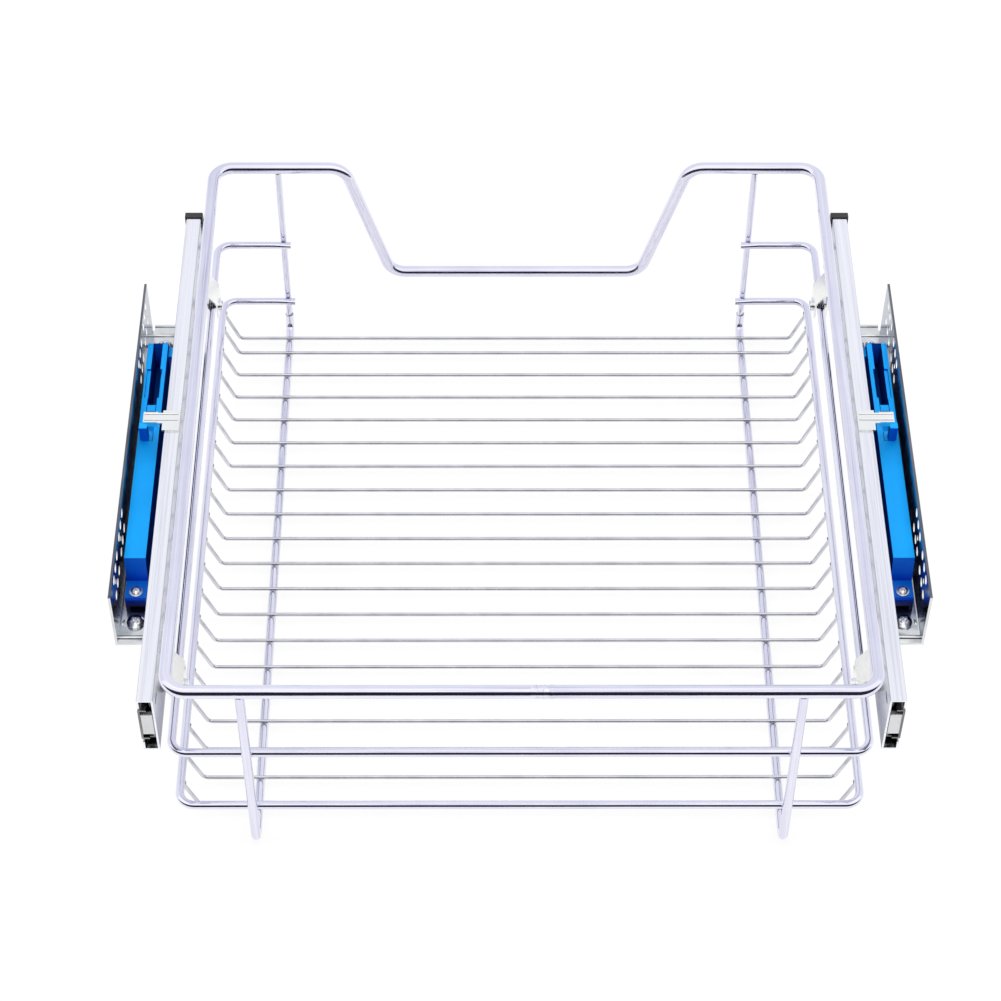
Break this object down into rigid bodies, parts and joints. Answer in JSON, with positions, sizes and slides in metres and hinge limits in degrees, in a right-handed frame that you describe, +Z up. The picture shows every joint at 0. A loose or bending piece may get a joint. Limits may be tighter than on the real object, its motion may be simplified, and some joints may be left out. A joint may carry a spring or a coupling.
{
  "type": "pull out cabinet basket",
  "caption": "Wire basket with a dipped front on soft-close ball-bearing slides, with brackets that screw to the sides of a kitchen cabinet.",
  "frame": {"origin": "under the middle of the assembly, on the plane of the floor runners' undersides", "axes": "+X across the cabinet, +Y the way the basket pulls out, to its dipped front, +Z up"},
  "size_m": [0.466, 0.4226, 0.1525],
  "materials": {
    "chrome_wire": "bright chrome plate on steel wire",
    "nickel_sheet": "bright nickel plated pressed sheet",
    "slide_steel": "bright zinc plate, smooth rolled steel",
    "black_plastic": "fine moulded",
    "cage_steel": "plain steel strip",
    "ball_steel": "polished bearing steel",
    "stop_metal": "satin zinc",
    "bracket_steel": "bright zinc plated pressed sheet",
    "screw_steel": "bright zinc plate",
    "blue_plastic": "smooth moulded",
    "damper_steel": "drawn steel"
  },
  "bodies": {
    "cabinet_side": {"left_bracket": "bracket_steel", "right_bracket": "bracket_steel", "left_cabinet_member": "slide_steel", "right_cabinet_member": "slide_steel", "left_rear_stop": "stop_metal", "right_rear_stop": "stop_metal", "left_slide_feet": "slide_steel", "right_slide_feet": "slide_steel", "left_damper_housing": "blue_plastic", "right_damper_housing": "blue_plastic", "left_damper_cylinder": "damper_steel", "right_damper_cylinder": "damper_steel", "left_closing_spring": "damper_steel", "right_closing_spring": "damper_steel", "foot_rivets": "screw_steel", "bracket_screws": "screw_steel", "bracket_nuts": "screw_steel", "damper_screws": "screw_steel", "damper_washers": "screw_steel"},
    "basket": {"top_frame": "chrome_wire", "middle_ring": "chrome_wire", "bottom_ring": "chrome_wire", "floor_wires": "chrome_wire", "left_floor_runner": "chrome_wire", "right_floor_runner": "chrome_wire", "left_front_upright": "chrome_wire", "right_front_upright": "chrome_wire", "left_rear_clip": "nickel_sheet", "right_rear_clip": "nickel_sheet", "left_front_clip": "nickel_sheet", "right_front_clip": "nickel_sheet", "left_drawer_member": "slide_steel", "right_drawer_member": "slide_steel", "left_end_cap": "black_plastic", "right_end_cap": "black_plastic", "left_closing_tab": "nickel_sheet", "right_closing_tab": "nickel_sheet", "clip_rivets": "screw_steel", "clip_screws": "screw_steel", "clip_nuts": "screw_steel"},
    "left_outer_cage": {"left_outer_ball_cage": "cage_steel", "left_outer_balls": "ball_steel"},
    "left_intermediate": {"left_intermediate_member": "slide_steel"},
    "left_inner_cage": {"left_inner_ball_cage": "cage_steel", "left_inner_balls": "ball_steel"},
    "left_catch_slider": {"left_catch": "blue_plastic", "left_damper_piston": "damper_steel"},
    "right_outer_cage": {"right_outer_ball_cage": "cage_steel", "right_outer_balls": "ball_steel"},
    "right_intermediate": {"right_intermediate_member": "slide_steel"},
    "right_inner_cage": {"right_inner_ball_cage": "cage_steel", "right_inner_balls": "ball_steel"},
    "right_catch_slider": {"right_catch": "blue_plastic", "right_damper_piston": "damper_steel"}
  },
  "joints": [
    {"name": "basket_slide", "type": "slide", "parent": "cabinet_side", "child": "basket", "axis": [0, 1, 0], "range_m": [0, 0.36]},
    {"name": "left_outer_cage_slide", "type": "slide", "parent": "cabinet_side", "child": "left_outer_cage", "axis": [0, 1, 0], "range_m": [0, 0.27]},
    {"name": "left_intermediate_slide", "type": "slide", "parent": "cabinet_side", "child": "left_intermediate", "axis": [0, 1, 0], "range_m": [0, 0.18]},
    {"name": "left_inner_cage_slide", "type": "slide", "parent": "cabinet_side", "child": "left_inner_cage", "axis": [0, 1, 0], "range_m": [0, 0.09]},
    {"name": "left_catch_slide", "type": "slide", "parent": "cabinet_side", "child": "left_catch_slider", "axis": [0, 1, 0], "range_m": [0, 0.045], "stiffness_N_per_m": 60, "springref_m": -0.03},
    {"name": "right_outer_cage_slide", "type": "slide", "parent": "cabinet_side", "child": "right_outer_cage", "axis": [0, 1, 0], "range_m": [0, 0.27]},
    {"name": "right_intermediate_slide", "type": "slide", "parent": "cabinet_side", "child": "right_intermediate", "axis": [0, 1, 0], "range_m": [0, 0.18]},
    {"name": "right_inner_cage_slide", "type": "slide", "parent": "cabinet_side", "child": "right_inner_cage", "axis": [0, 1, 0], "range_m": [0, 0.09]},
    {"name": "right_catch_slide", "type": "slide", "parent": "cabinet_side", "child": "right_catch_slider", "axis": [0, 1, 0], "range_m": [0, 0.045], "stiffness_N_per_m": 60, "springref_m": -0.03}
  ],
  "couplings": [
    {"joint": "left_outer_cage_slide", "follows": "basket_slide", "ratio": 0.75},
    {"joint": "left_intermediate_slide", "follows": "basket_slide", "ratio": 0.5},
    {"joint": "left_inner_cage_slide", "follows": "basket_slide", "ratio": 0.25},
    {"joint": "right_outer_cage_slide", "follows": "basket_slide", "ratio": 0.75},
    {"joint": "right_intermediate_slide", "follows": "basket_slide", "ratio": 0.5},
    {"joint": "right_inner_cage_slide", "follows": "basket_slide", "ratio": 0.25}
  ]
}
